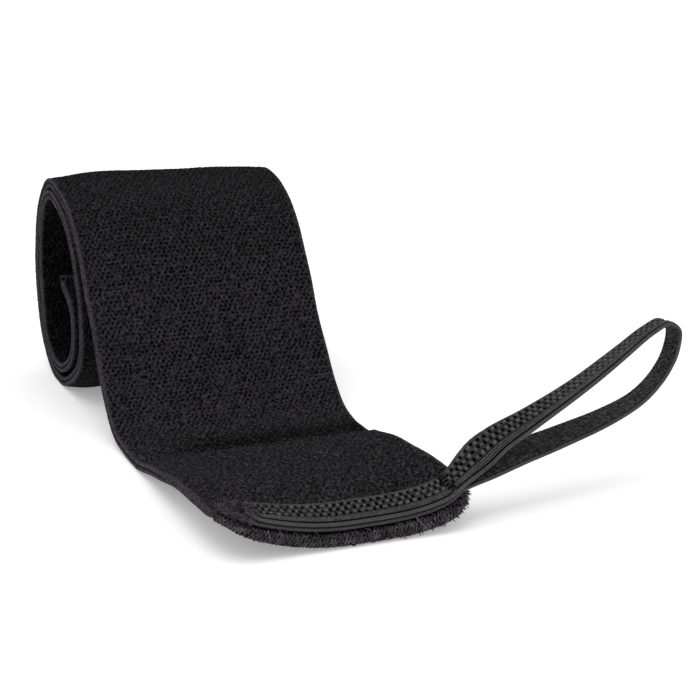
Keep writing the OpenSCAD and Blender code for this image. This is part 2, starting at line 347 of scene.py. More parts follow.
class Bundle:
    """Many small tubes gathered into one mesh."""

    def __init__(self):
        self.points, self.faces, self.cloth, self.light, self.pit = [], [], [], [], []
        self.count = 0

    def add(self, points, faces, cloth, light=0.0, pit=0.0):
        self.points.append(points)
        self.cloth.append(cloth)
        self.light.append(np.full(len(points), light))
        self.pit.append(np.full(len(points), pit))
        self.faces += [[self.count + k for k in face] for face in faces]
        self.count += len(points)

    def tube(self, path, radius, sides=6, light=0.0, pit=0.0):
        """A tube along path, closed with a rounded point at each end."""
        path = np.asarray(path, float)
        along = unit(np.gradient(path, axis=0))
        up = np.array([0.0, 0.0, 1.0]) if abs(along[0][2]) < 0.9 else np.array([1.0, 0.0, 0.0])
        across = []
        for t in along:
            up = up - t*np.dot(up, t)
            up = up/np.linalg.norm(up)
            across.append(up)
        across = np.array(across)
        other = np.cross(along, across)
        radius = np.broadcast_to(radius, len(path))
        s = arc_lengths(path)
        angle = np.arange(sides)*2*math.pi/sides
        ring = (path[:, None, :] + radius[:, None, None]*(
            np.cos(angle)[:, None]*across[:, None, :] + np.sin(angle)[:, None]*other[:, None, :]))
        cloth = np.stack(np.broadcast_arrays(angle[None, :]*radius[:, None], s[:, None],
                                             np.full((len(path), sides), float(self.count % 97))), -1)
        rows = len(path)
        ends = np.array([path[0] - along[0]*radius[0]*0.6, path[-1] + along[-1]*radius[-1]*0.6])
        faces = ring_faces(rows, sides)
        first, last = rows*sides, rows*sides + 1
        faces += [[(k + 1) % sides, k, first] for k in range(sides)]
        low = (rows - 1)*sides
        faces += [[low + k, low + (k + 1) % sides, last] for k in range(sides)]
        self.add(np.vstack([ring.reshape(-1, 3), ends]), faces,
                 np.vstack([cloth.reshape(-1, 3), cloth[0, :1], cloth[-1, :1]]), light, pit)

    def piece(self, name, material):
        return mesh_piece(name, np.vstack(self.points), self.faces, material,
                          np.vstack(self.cloth), np.concatenate(self.pit), np.concatenate(self.light))


# ------------------------------------------------------------------ materials
class Nodes:
    """Short hand for building a material's node tree."""

    def __init__(self, name):
        self.material = bpy.data.materials.new(name)
        self.material.use_nodes = True
        self.tree = self.material.node_tree
        self.shader = self.tree.nodes["Principled BSDF"]

    def new(self, kind, **settings):
        node = self.tree.nodes.new(kind)
        for key, value in settings.items():
            setattr(node, key, value)
        return node

    def link(self, source, target):
        self.tree.links.new(source, target)

    def attribute(self, name):
        return self.new("ShaderNodeAttribute", attribute_name=name)

    def noise(self, vector, scale, detail=3.0, stretch=None):
        if stretch:
            mapping = self.new("ShaderNodeMapping")
            mapping.inputs["Scale"].default_value = stretch
            self.link(vector, mapping.inputs["Vector"])
            vector = mapping.outputs["Vector"]
        node = self.new("ShaderNodeTexNoise")
        node.inputs["Scale"].default_value = scale
        node.inputs["Detail"].default_value = detail
        self.link(vector, node.inputs["Vector"])
        return node.outputs["Fac"]

    def ramp(self, value, low, high, from_low=0.0, from_high=1.0):
        node = self.new("ShaderNodeMapRange")
        node.inputs["From Min"].default_value = from_low
        node.inputs["From Max"].default_value = from_high
        node.inputs["To Min"].default_value = low
        node.inputs["To Max"].default_value = high
        self.link(value, node.inputs["Value"])
        return node.outputs["Result"]

    def maths(self, operation, a, b):
        node = self.new("ShaderNodeMath", operation=operation)
        for socket, value in zip(node.inputs, (a, b)):
            if isinstance(value, (int, float)):
                socket.default_value = value
            else:
                self.link(value, socket)
        return node.outputs["Value"]

    def tinted(self, colour, *strengths):
        """The colour multiplied by each of the strengths in turn."""
        product = strengths[0]
        for strength in strengths[1:]:
            product = self.maths("MULTIPLY", product, strength)
        node = self.new("ShaderNodeVectorMath", operation="SCALE")
        node.inputs[0].default_value = colour
        self.link(product, node.inputs["Scale"])
        self.link(node.outputs["Vector"], self.shader.inputs["Base Color"])

    def bump(self, *layers):
        """Bump from (height, distance in metres) pairs, coarse first."""
        previous = None
        for height, distance in layers:
            node = self.new("ShaderNodeBump")
            node.inputs["Strength"].default_value = 1.0
            node.inputs["Distance"].default_value = distance
            self.link(height, node.inputs["Height"])
            if previous:
                self.link(previous, node.inputs["Normal"])
            previous = node.outputs["Normal"]
        self.link(previous, self.shader.inputs["Normal"])


def cloth_material(name, colour, pit_depth, light_gain, speck, grain, stretch=None):
    """Matt textile: speckled yarn, dark pinholes, lighter ribs, fibre bump and a faint sheen.

    speck is the contrast of the speckle and grain its scale, in specks per millimetre."""
    n = Nodes(name)
    place = n.attribute("cloth").outputs["Vector"]
    pit = n.attribute("pit").outputs["Fac"]
    light = n.attribute("light").outputs["Fac"]
    broad = n.noise(place, 0.12, 2)
    yarn = n.noise(place, grain, 2, stretch)
    strand = n.noise(place, 2.3*grain, 2, stretch)
    # The pit value darkens and the light value lightens the colour: they carry the pieces' painted shade
    # and painted highlight, along with random mottling and dark stitches
    n.tinted(colour,
             n.ramp(broad, 0.9, 1.1, 0.3, 0.7),
             n.ramp(yarn, 1 - speck, 1 + speck, 0.33, 0.67),
             n.ramp(strand, 1 - speck, 1 + speck, 0.33, 0.67),
             n.ramp(pit, 1.0, 1 - pit_depth, 0.12, 0.75),
             n.ramp(light, 1.0, light_gain))
    n.link(n.ramp(strand, 0.8, 1.0, 0.3, 0.7), n.shader.inputs["Roughness"])
    n.bump((yarn, 0.2*MM), (strand, 0.12*MM))
    n.shader.inputs["Specular IOR Level"].default_value = 0.02
    n.shader.inputs["Sheen Weight"].default_value = 0.003
    n.shader.inputs["Sheen Roughness"].default_value = 0.5
    return n.material


def hook_material():
    """Moulded nylon hooks: darker, a little glossy, with faint scuffing."""
    n = Nodes("hook_nylon")
    place = n.attribute("cloth").outputs["Vector"]
    scuff = n.noise(place, 0.8, 4)
    grain = n.noise(place, 5, 2)
    n.tinted((0.012, 0.012, 0.013), n.ramp(scuff, 0.7, 1.4, 0.3, 0.7))
    n.link(n.ramp(scuff, 0.32, 0.6, 0.3, 0.7), n.shader.inputs["Roughness"])
    n.bump((grain, 0.05*MM))
    n.shader.inputs["Specular IOR Level"].default_value = 0.25
    return n.material


# The floor glows a little, which keeps the shadows on it soft and pale
FLOOR_GLOW = 0.27


def floor_material():
    """Pale, almost white paper with a barely visible tooth, lit from below."""
    n = Nodes("floor_paper")
    place = n.new("ShaderNodeTexCoord").outputs["Object"]
    tooth = n.noise(place, 900, 3)
    n.tinted((0.9, 0.9, 0.9), n.ramp(n.noise(place, 3, 2), 0.99, 1.01, 0.3, 0.7))
    n.link(n.ramp(tooth, 0.9, 1.0), n.shader.inputs["Roughness"])
    n.bump((tooth, 0.00002))
    n.shader.inputs["Specular IOR Level"].default_value = 0.1
    n.shader.inputs["Emission Color"].default_value = (1, 1, 1, 1)
    n.shader.inputs["Emission Strength"].default_value = FLOOR_GLOW
    return n.material


knit_cloth = cloth_material("knit_cloth", (0.0248, 0.0232, 0.0252), 0.93, 2.1, 0.6, 1.6)
tape_cloth = cloth_material("tape_cloth", (0.064, 0.064, 0.064), 0.96, 2.2, 0.36, 1.9)
thread_cloth = cloth_material("thread_cloth", (0.039, 0.036, 0.040), 0.9, 2.2, 0.6, 1.6,
                              stretch=(1.0, 0.5, 1.0))
hook_nylon = hook_material()

# ------------------------------------------------------------------ the knitted band
# Section of the woven side edge, from the top face round to the underside, as
# (distance in from the edge in millimetres, height as a share of the thickness)
SELVEDGE = [(0.30, 0.485), (0.10, 0.43), (0.0, 0.33), (0.06, 0.2), (0.24, 0.08),
            (0.24, -0.08), (0.06, -0.2), (0.0, -0.33), (0.10, -0.43), (0.30, -0.485)]
FACE_INSET = 0.55
# Spacing of the knit's pinholes across and along the band
KNIT_PITCH = (1.72, 1.36)
# Spacing of the gaps between the longer tufts of the fluffed-up flap
TUFT_PITCH = (1.05, 2.3)


def band_section(top_cells, low_cells):
    """Across-positions, heights and kinds (top, right, underside, left) of the points round
    the band's section."""
    half = BAND_W/2 - FACE_INSET
    top = np.linspace(-half, half, top_cells + 1)
    low = np.linspace(half, -half, low_cells + 1)
    inset, share = np.array(SELVEDGE).T
    xs = np.concatenate([top, BAND_W/2 - inset, low, inset - BAND_W/2])
    hs = np.concatenate([np.full(len(top), BAND_T/2), share*BAND_T,
                         np.full(len(low), -BAND_T/2), -share*BAND_T])
    kind = np.repeat([0, 1, 2, 3], [len(top), len(inset), len(low), len(inset)])
    return xs, hs, kind


def knit_relief(x, s, seed, coarse, tufted):
    """Relief, pinholes and raised loops of the knitted face."""
    pin = smoothstep(spots(x, s, KNIT_PITCH, (0.42, 0.45), 0.10, seed, 0.04), 0.16, 0.5)*coarse
    loops = spots(x + KNIT_PITCH[0]/2, s, KNIT_PITCH, (0.5, 0.42), 0.09, seed + 1)
    grain = np.random.default_rng(seed + 2).normal(0, 1, x.shape)
    fluff = np.clip(0.5 + 0.5*grain, 0, 1)
    tufts = spots(x, s, TUFT_PITCH, (0.27, 0.75), 0.3, seed + 3)*tufted
    # Painted shade darkens the pinholes and the dips between the tufts, on top of a random mottle of the
    # fluff
    pit = np.clip(pin + 0.25*(1 - fluff)*coarse + 1.15*tufts, 0, 1)
    return -0.45*pin + 0.12*loops + 0.04*grain - 0.2*tufts, pit, loops*fluff


# Middle of the fold behind the ridge along y, and its reach
FOLD_Y = -86.0
FOLD_WIDTH = 6.5
# How much painted shade darkens the cloth in that fold and on the underside
FOLD_SHADE = 0.35
UNDERSIDE_SHADE = 0.42
# Pitch of the side edge's ribs and how far they slant over its thickness
EDGE_RIB_PITCH = 1.15
EDGE_RIB_SLANT = 0.7


def band_surface(s_rows, top_cells, low_cells):
    """All points of the band for the given rows, with the values the material reads."""
    xs, hs, kind = band_section(top_cells, low_cells)
    out_x = np.choose(kind, [0, 1, 0, -1]).astype(float)
    out_h = np.choose(kind, [1, 0, -1, 0]).astype(float)
    s = np.broadcast_to(s_rows[:, None], (len(s_rows), len(xs)))
    x = np.broadcast_to(xs[None, :], s.shape)
    face = np.isin(kind, (0, 2))[None, :]
    upper = (kind == 0)[None, :]
    edge = smoothstep(BAND_W/2 - np.abs(x), 0.5, 1.2)
    # The knit is finer and fluffier on the flap than on the slope
    coarse = 0.45 + 0.45*smoothstep(s, 70, 112) - 0.45*smoothstep(s, 140, 190)
    tufted = 1 - 0.82*smoothstep(s, 70, 112) + 0.25*smoothstep(s, 165, 205)
    relief_top, pit_top, loops = knit_relief(x, s, 11, coarse, tufted)
    relief_low, pit_low, _ = knit_relief(x, s, 41, np.full(s.shape, 0.5), 0.45)
    relief = np.where(upper, relief_top, relief_low)*edge
    # Painted shade darkens the cloth in the fold behind the ridge
    y = np.interp(s, mid_s, mid_line[:, 0])
    fold_shade = np.exp(-((y - FOLD_Y)/FOLD_WIDTH)**2)*smoothstep(x, -34, -6)*upper*(y < 0)
    pit_top = np.clip(pit_top + FOLD_SHADE*fold_shade*(s < SLOPE_S), 0, 1)
    # Painted shade darkens the whole underside, which faces the inside of the roll and the table
    pit_low = np.clip(pit_low + UNDERSIDE_SHADE, 0, 1)
    # Painted shade darkens the upper face towards and over the crown of the roll
    pit_top = np.clip(pit_top + 0.2*smoothstep(s, 135, 175) + 0.12*smoothstep(s, 175, 205), 0, 1)
    pit = np.where(upper, pit_top, pit_low)*(0.25 + 0.75*edge)
    # Ribs that run slantwise over the side edge, with a groove between its two ridges; painted shade
    # darkens the groove and the dips between the ribs
    height = np.broadcast_to(hs[None, :], s.shape)
    rib = np.sin(2*math.pi*(s + EDGE_RIB_SLANT*height)/EDGE_RIB_PITCH)
    share = np.abs(height)/(BAND_T/2)
    side_relief = 0.06*rib + 0.03*np.random.default_rng(5).normal(0, 1, s.shape)
    relief = np.where(face, relief, side_relief)
    # Near the front end the side edge is one flat, pale, ribbed strip with no groove
    flat_edge = 1 - smoothstep(s, 38, 62)
    pit = np.where(face, pit, 0.55*(1 - flat_edge)*(1 - smoothstep(share, 0.05, 0.3))
                   + (0.4 + 0.3*flat_edge)*(rib < -0.25))
    pale = (1.0 + 0.6*(1 - smoothstep(s, 80, 125)))*np.maximum(smoothstep(share, 0.15, 0.4), flat_edge)
    ribbing = np.random.default_rng(6).uniform(0.2, 1.8, s.shape)
    pale = pale*(1 + flat_edge*(1.5*ribbing - 0.6))
    # Painted highlight lightens the raised loops of the face
    light = np.where(face, 0.5*(1 - edge)*(1 + 1.4*flat_edge*ribbing) + 0.4*loops*edge*coarse, pale)
    sway = 0.22*waviness(s, np.where(x > 0, 50.0, 0.0), 3)*smoothstep(np.abs(x), 20, BAND_W/2)
    swell = 0.18*waviness(x, s, 7)*smoothstep(s, 15, 60)
    points = on_band(s, x + out_x*relief + np.sign(x)*sway, height + out_h*relief + swell)
    points[..., 2] = np.maximum(points[..., 2], 0)
    # The yarn's speckle is longer along the flap, where the fluff is combed forwards
    combed = s - 0.55*np.minimum(s, 90)
    return points, np.stack([x + out_x*4, combed, height], -1), pit, light


def band_rows(s0, s1, step):
    return np.linspace(s0, s1, int(round((s1 - s0)/step)) + 1)


def band_piece(name, surface, first=0, last=None):
    """A stretch of the band from row first to row last of a surface."""
    points, cloth, pit, light = (part[first:last] for part in surface)
    rows, ring = pit.shape
    faces = ring_faces(rows, ring) + ring_caps(rows, ring)
    piece = mesh_piece(name, points.reshape(-1, 3), faces, knit_cloth,
                       cloth.reshape(-1, 3), pit, light, flat=2)
    return piece


CUT_A = FOOT_S + 46
CUT_B = SLOPE_S + 27
CUT_C = 353.0
CUT_D = 455.0
PANEL_START = 1.1
TAIL_STOP = BAND_L - TAIL_BEAD_R - 0.1
rows_a = band_rows(PANEL_START, CUT_A, 0.43)
rows_b = band_rows(CUT_A, CUT_B, 0.43)
rows_c = band_rows(CUT_B, CUT_C, 0.5)
open_face = band_surface(np.concatenate([rows_a, rows_b[1:], rows_c[1:]]), 172, 72)
row_a = len(rows_a) - 1
row_b = row_a + len(rows_b) - 1
front_panel = band_piece("knit_front_panel", open_face, 0, row_a + 1)
slope_panel = band_piece("knit_slope_panel", open_face, row_a, row_b + 1)
outer_turn = band_piece("knit_outer_turn", open_face, row_b, None)
inner_turn = band_piece("knit_inner_turn", band_surface(band_rows(CUT_C, CUT_D, 0.55), 72, 150))
tail_panel = band_piece("knit_tail_panel", band_surface(band_rows(CUT_D, TAIL_STOP, 0.5), 120, 120))


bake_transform(front_panel)
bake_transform(slope_panel)
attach(outer_turn, "roll")
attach(inner_turn, "roll")
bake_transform(tail_panel)
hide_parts("band_end_panel")
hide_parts("band_slope")
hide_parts("band_roll")
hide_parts("band_tail")


# ------------------------------------------------------------------ the tape: trim and loop
TAPE_LEFT = 6.4 - BAND_W/2
TAPE_TOP_LEFT = TAPE_LEFT + 2.2
TAPE_S = TAPE_FRONT + TAPE_W/2
LOW_H = BAND_T/2 + SEWN_GAP + TAPE_T/2
HIGH_H = BAND_T/2 + 2*SEWN_GAP + 1.5*TAPE_T
TAPE_ROW = 0.25
# The tape across, from its near edge: a round edge cord, fine ribs, three rows of holes
# between knitted lumps, and a plain far edge
CORD_R = 0.56
WEB_T = 1.2
RIB_START = 1.2
RIB_END = 3.6
RIBS = 3
MESH_END = 9.9
HOLE_ROW = 4.8
HOLE_PITCH = (2.25, 2.05)
HOLE_SLANT = -0.165
# Stretch of the tape, from its upper end, over which the holes close up
HOLES_CLOSE = (85.0, 125.0)
# The tape draws in where it bends round the tip of the loop: its near edge just before the
# tip, its far edge just after it
NEAR_PINCH = 2.4
FAR_PINCH = 1.1
TIP_REACH = 18.0
TIP_SPREAD = 13.0
FOLD_X = 32.6
FOLD_BOW = -0.8
FOLD_REACH = 0.7


def tape_line():
    """Centre line of the tape with the directions across it and out of its outer face, from
    the upper layer's left end round the loop to the lower layer's left end."""
    def layer(x, h):
        centre = on_band(np.full(len(x), TAPE_S), x, h)
        across = on_band(np.full(len(x), TAPE_S + 1), x, h) - on_band(np.full(len(x), TAPE_S - 1), x, h)
        return centre, unit(across)

    high, high_w = layer(np.linspace(TAPE_TOP_LEFT, 34.5, 16), HIGH_H)
    low, low_w = layer(np.linspace(35.0, TAPE_LEFT, 16), LOW_H)
    bend = np.array([[p[0], LOOP_Y + LOOP_DRIFT*(p[0] - LOOP_START), p[1]] for p in LOOP_ROUTE])
    tilt = np.radians(LOOP_TILT)
    bend_w = np.stack([np.zeros(len(bend)), np.cos(tilt), np.sin(tilt)], 1)
    line = np.vstack([high, bend, low])
    across = np.vstack([high_w, bend_w, low_w])
    both = spline(np.hstack([line, across*8]), 24)
    s = arc_lengths(both[:, :3])
    n = int(round(s[-1]/TAPE_ROW))
    at = np.linspace(0, s[-1], n + 1)
    both = np.stack([np.interp(at, s, both[:, k]) for k in range(6)], 1)
    centre = smoothed(both[:, :3], 2)
    centre[0], centre[-1] = both[0, :3], both[-1, :3]
    along = unit(np.gradient(centre, axis=0))
    w = both[:, 3:]
    w = unit(w - along*np.sum(w*along, 1, keepdims=True))
    return centre, w, unit(np.cross(along, w)), at


def tape_section():
    """Points round the tape's section: places across and heights, the directions in which
    relief pushes them, and which part each belongs to (cord, outer face, far edge, inner)."""
    over = np.radians(np.linspace(180, 35, 8))
    under = np.radians(np.linspace(-35, -165, 7))
    outer = np.concatenate([np.linspace(RIB_START, RIB_END, 19)[:-1],
                            np.linspace(RIB_END, MESH_END, 31), [TAPE_W - 0.3]])
    inner = np.linspace(TAPE_W - 0.3, RIB_START, 13)
    side = np.array([0.32, 0.12, -0.12, -0.32])*WEB_T
    a = np.concatenate([CORD_R*(1 + np.cos(over)), outer, np.full(4, TAPE_W), inner,
                        CORD_R*(1 + np.cos(under))])
    h = np.concatenate([CORD_R*np.sin(over), np.full(len(outer), WEB_T/2), side,
                        np.full(len(inner), -WEB_T/2), CORD_R*np.sin(under)])
    part = np.repeat([0, 1, 2, 3, 4], [len(over), len(outer), 4, len(inner), len(under)])
    turn = np.concatenate([over, np.full(len(outer), math.pi/2), np.zeros(4),
                           np.full(len(inner), -math.pi/2), under])
    return a, h, np.cos(turn), np.sin(turn), part, turn


def tape_outer_relief(u, a):
    """Relief, darkness and lightness of the tape's outer face, u along it and a across it."""
    # Ribs with slanted stitches
    phase = (a - RIB_START)/(RIB_END - RIB_START)*RIBS
    grit = 0.5 + spots(u, a, (0.7, 0.7), (0.3, 0.3), 0.3, 33)
    which = np.clip(np.floor(phase), 0, RIBS - 1)
    rib = np.abs(np.sin(math.pi*phase))
    slant = 0.5 + 0.5*np.sin(2*math.pi*(u/0.85 + 0.95*phase + 0.35*which))
    rib_h = -0.34 + 0.40*rib + 0.12*slant*rib
    # Painted shade darkens the dips between the ribs, the gaps between the slanted stitches and the groove
    # next to the cord
    rib_pit = 0.95*(1 - smoothstep(rib, 0.1, 0.6)) + 0.4*(1 - smoothstep(slant, 0.0, 0.4))*grit
    rib_pit = rib_pit + 0.6*(1 - smoothstep(a, RIB_START + 0.15, RIB_START + 0.42))
    # Rows of holes, each row shifted along from the last, between plump knitted lumps
    place = u + HOLE_SLANT*(a - HOLE_ROW)
    row = a - HOLE_ROW
    hole = smoothstep(spots(place, row, HOLE_PITCH, (0.44, 0.62), 0.06, 31), 0.1, 0.5)
    hole = hole*smoothstep(a, HOLE_ROW - 1.1, HOLE_ROW - 0.8)
    lump = spots(place + HOLE_PITCH[0]/2, row, HOLE_PITCH, (0.66, 0.60), 0.06, 32)
    thread = np.sin(2*math.pi*(u/0.62 + a/0.85))
    mesh_h = -0.6*hole + 0.34*lump + 0.04*thread - 0.1
    # The holes are dark partly as real holes and partly by painted shade, which also darkens the dips
    # round the lumps
    mesh_pit = hole + 0.34*(1 - hole)*(1 - smoothstep(lump, 0.05, 0.4)) + 0.16*(thread < -0.2)*grit
    # The holes close up towards the tip of the loop
    mesh_pit = mesh_pit*(1 - 0.45*smoothstep(u, *HOLES_CLOSE))
    edge = smoothstep(a, MESH_END - 0.4, MESH_END)
    in_mesh = smoothstep(a, RIB_END - 0.1, RIB_END + 0.25)
    relief = (1 - in_mesh)*rib_h + in_mesh*((1 - edge)*mesh_h + edge*0.05*thread)
    pit = (1 - in_mesh)*rib_pit + in_mesh*(1 - edge)*mesh_pit
    # Painted highlight lightens the tops of the ribs and of the lumps
    light = (1 - in_mesh)*0.45*rib*slant*grit + in_mesh*(1 - edge)*0.85*lump*(1 - hole)*grit
    # Coarse grain of the yarn
    rng = np.random.default_rng(23)
    pit = pit + 0.32*in_mesh*(rng.random(pit.shape)**2)
    light = light*rng.uniform(0.45, 1.45, light.shape)
    return relief + rng.normal(0, 0.02, relief.shape), np.clip(pit, 0, 1), light


def corner_cut(end, radius):
    """How far a rounded corner draws an edge back, at distance end from the tape's end."""
    reach = np.clip(radius - end, 0, radius)
    return radius - np.sqrt(np.clip(radius**2 - reach**2, 0, None))


def tape_mesh():
    centre, w, normal, u = tape_line()
    a, h, push_a, push_h, part, turn = tape_section()
    ring = len(a)
    uu = np.broadcast_to(u[:, None], (len(u), ring))
    aa = np.broadcast_to(a[None, :], uu.shape)
    relief, pit, light = tape_outer_relief(uu, aa)
    rng = np.random.default_rng(29)
    nap = spots(uu, aa, (0.95, 0.8), (0.34, 0.30), 0.2, 37)
    whip = np.sin(2*math.pi*(uu/0.8 + turn[None, :]/5))
    side = 0.03*whip + rng.normal(0, 0.012, uu.shape)
    cord = np.isin(part, (0, 4))[None, :]
    outer = (part == 1)[None, :]
    inner = (part == 3)[None, :]
    # Painted shade darkens the cord's top and bottom where the web starts, as in a groove
    groove = np.clip((aa - 1.25*CORD_R)/(0.75*CORD_R), 0, 1)
    push = np.where(outer, relief, np.where(inner, 0.10*nap, side))
    grain = rng.random(uu.shape)
    pit = np.where(outer, pit, np.where(inner, 0.3*(1 - nap) + 0.55*(1 - grain)**2,
                                        np.where(cord, 0.8*groove, 0.2)))
    light = np.where(outer, light, np.where(inner, (0.2 + 0.5*nap)*1.8*grain**2,
                                            np.where(cord, 0.15 + 0.2*whip, 0.1)))
    # Both cut ends are rounded: widely at the near corner, where the cord curls round it
    end = np.minimum(u, u[-1] - u)
    near = corner_cut(end, 4.6)
    far = corner_cut(end, 1.6)
    middle = np.argmax(centre[:, 0])
    past_tip = u - u[middle]
    near = near + NEAR_PINCH*np.exp(-((past_tip + TIP_SPREAD)/TIP_REACH)**2)
    far = far + FAR_PINCH*np.exp(-((past_tip - TIP_SPREAD)/TIP_REACH)**2)
    # The fold that the seam presses into the upper layer where the loop leaves the band, darkened with
    # painted shade
    arc = FOLD_X + FOLD_BOW*np.sin(math.pi*aa/TAPE_W)
    fold = np.exp(-((centre[:, :1] - arc)/FOLD_REACH)**2)*(u[:, None] < u[middle]/2)
    push = push - 0.35*fold*outer
    pit = np.clip(pit + 0.85*fold*outer, 0, 1)
    thin = 0.6 + 0.4*smoothstep(end, 0, 1.2)
    across = near[:, None] + (aa + push*push_a)*(1 - (near + far)/TAPE_W)[:, None] - TAPE_W/2
    level = (h + push*push_h)*thin[:, None]
    points = centre[:, None, :] + across[..., None]*w[:, None, :] + level[..., None]*normal[:, None, :]
    cloth = np.stack([aa + 3*push_a, uu, np.broadcast_to(h[None, :], uu.shape)*2], -1)
    faces = ring_faces(len(u), ring, -1) + ring_caps(len(u), ring, -1)
    piece = mesh_piece("loop_tape", points.reshape(-1, 3), faces, tape_cloth,
                       cloth.reshape(-1, 3), pit, light, flat=2)
    return piece, u[-1]


loop_tape, tape_length = tape_mesh()
seam = on_band(TAPE_S, 37.5, LOW_H)
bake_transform(loop_tape)
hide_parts("trim_lower_layer", "trim_upper_layer", "thumb_loop")


# ------------------------------------------------------------------ threads
WRAP_PITCH = 1.1


def stitch_line(a, b, lift, rise, steps=7):
    """Path of one stitch that dips into the cloth at both ends."""
    t = np.linspace(0, 1, steps)[:, None]
    return a + (b - a)*t + lift*rise*np.sin(math.pi*t)


def loose_hair(rng, root, aim, bend, thickness, taper):
    """Path and radius of a short bent hair that starts at root and thins towards its tip."""
    t = np.linspace(0, 1, 6)[:, None]
    path = root + aim*0.8*t + rng.normal(0, bend, 3)*t*t
    return path, rng.uniform(*thickness)*(1 - taper*t[:, 0])


def plump(x):
    """The bead's thickness along the front edge: thin at its left end, fat at its right end."""
    taper = smoothstep(x - FRONT_BEAD_LEFT, 0, 8)
    swell = 1.12 - 0.2*smoothstep(-x, 14, BAND_W/2) + 0.12*smoothstep(x, 10, 26)
    return swell*(0.72 + 0.28*taper)*(1 - 0.45*smoothstep(x, 31, 36.5))


def overlock(name, edge, inward, normal, radius, seed, body, node):
    """Thread bound over a cut edge: crossed wraps, looped threads along the rim and fuzz.

    edge is the centre line, inward points into the band and normal up from its face."""
    rng = np.random.default_rng(seed)
    s = arc_lengths(edge)
    length = s[-1]
    bundle = Bundle()

    thick = plump(edge[:, 0]) if body == "front_end" else np.ones(len(edge))

    def rim(at, angle, r):
        """Point at distance at along the edge; angle 0 is on top, 90 degrees is the outermost."""
        at = np.clip(at, 0, length)
        c, i, n = (np.stack([np.interp(at, s, v[:, k]) for k in range(3)], -1)
                   for v in (edge, inward, normal))
        r = (r*np.interp(at, s, thick))[..., None]
        return c + r*(np.cos(angle)[..., None]*n - np.sin(angle)[..., None]*i)

    # Core under the threads, darkened with painted shade where it shows between them
    stations = np.linspace(0, length, int(length/0.5))
    angle = np.linspace(0, 2*math.pi, 28, endpoint=False)
    at = np.broadcast_to(stations[:, None], (len(stations), len(angle)))
    turn = np.broadcast_to(angle[None, :], at.shape)
    core = rim(at, turn, radius*(0.9 + 0.05*rng.normal(0, 1, at.shape)))
    cloth = np.stack([turn*radius, at, at*0], -1).reshape(-1, 3)
    bundle.add(core.reshape(-1, 3), ring_faces(*at.shape) + ring_caps(*at.shape), cloth, 0.0, 0.9)
    # Wraps from the face, round the rim, to the underside: two sets that cross like chevrons
    t = np.linspace(0, 1, 15)
    for k in range(int(length/WRAP_PITCH)):
        for lean, start, stop in ((1.35, -62, 120), (-1.2, 40, 232)):
            at0 = (k + 0.5)*WRAP_PITCH + rng.normal(0, 0.22)
            angle = np.radians(start + (stop - start)*t + rng.normal(0, 12))
            r = radius*np.interp(t, [0, 0.1, 0.9, 1], [0.84, 0.98, 0.98, 0.84])
            r = r + rng.normal(0, 0.14) + 0.16*np.sin(t*rng.uniform(4, 9) + rng.uniform(0, 6))
            sway = 0.3*np.sin(t*rng.uniform(5, 11) + rng.uniform(0, 6))
            bundle.tube(rim(at0 + lean*(t - 0.5) + sway, angle, r), rng.uniform(0.17, 0.29), 5,
                        rng.choice([0.0, 0.2, 0.6, 1.1, 1.5]), rng.choice([0.0, 0.0, 0.5]))
    # Looper threads that zigzag along the rim, above and below its outermost line
    for low, high, shift, lift in ((8, 62, 0.0, 0.16), (48, 108, 0.5, 0.2), (96, 160, 0.2, 0.2)):
        t = np.arange(0, length, 0.15)
        phase = 2*math.pi*((t + 0.25*waviness(t, 0*t, seed + low))/WRAP_PITCH + shift)
        swing = 0.5 + 0.5*np.sin(phase)
        wander = waviness(t, 9 + 0*t, seed + high, shortest=3.0, longest=12.0)
        angle = np.radians(low + (high - low)*swing + 7*wander)
        r = radius + lift*(0.4 + 0.6*np.abs(np.cos(phase))) + rng.normal(0, 0.025, len(t))
        for first in range(0, len(t), 12):
            stretch = slice(first, first + 13)
            if len(t[stretch]) < 3:
                continue
            bundle.tube(rim(t + 0.3*np.sin(2*phase), angle, r)[stretch], 0.2, 5,
                        rng.choice([0.1, 0.5, 0.9, 1.4]), rng.choice([0.0, 0.0, 0.4]))
    # Loose loops and frayed ends, thickest at the two corners
    for _ in range(int(length*4)):
        if rng.random() < 0.35:
            at0 = length*(rng.beta(0.6, 6) if rng.random() < 0.5 else 1 - rng.beta(0.6, 6))
        else:
            at0 = rng.uniform(0, length)
        t = np.linspace(0, 1, 6)
        at = at0 + rng.normal(0, 0.7)*t
        angle = math.radians(rng.uniform(-20, 190)) + rng.normal(0, 0.4)*t
        r = radius + rng.uniform(0.15, 0.6)*np.sin(t*math.pi*rng.uniform(0.5, 1.0))
        bundle.tube(rim(at, angle, r), rng.uniform(0.06, 0.14)*(1 - 0.5*t), 4, rng.uniform(0.0, 0.6))
    if body == "front_end":
        frayed_corners(bundle, edge, rng)
    piece = bundle.piece(name, thread_cloth)
    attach(piece, body)
    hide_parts(node)
    return piece


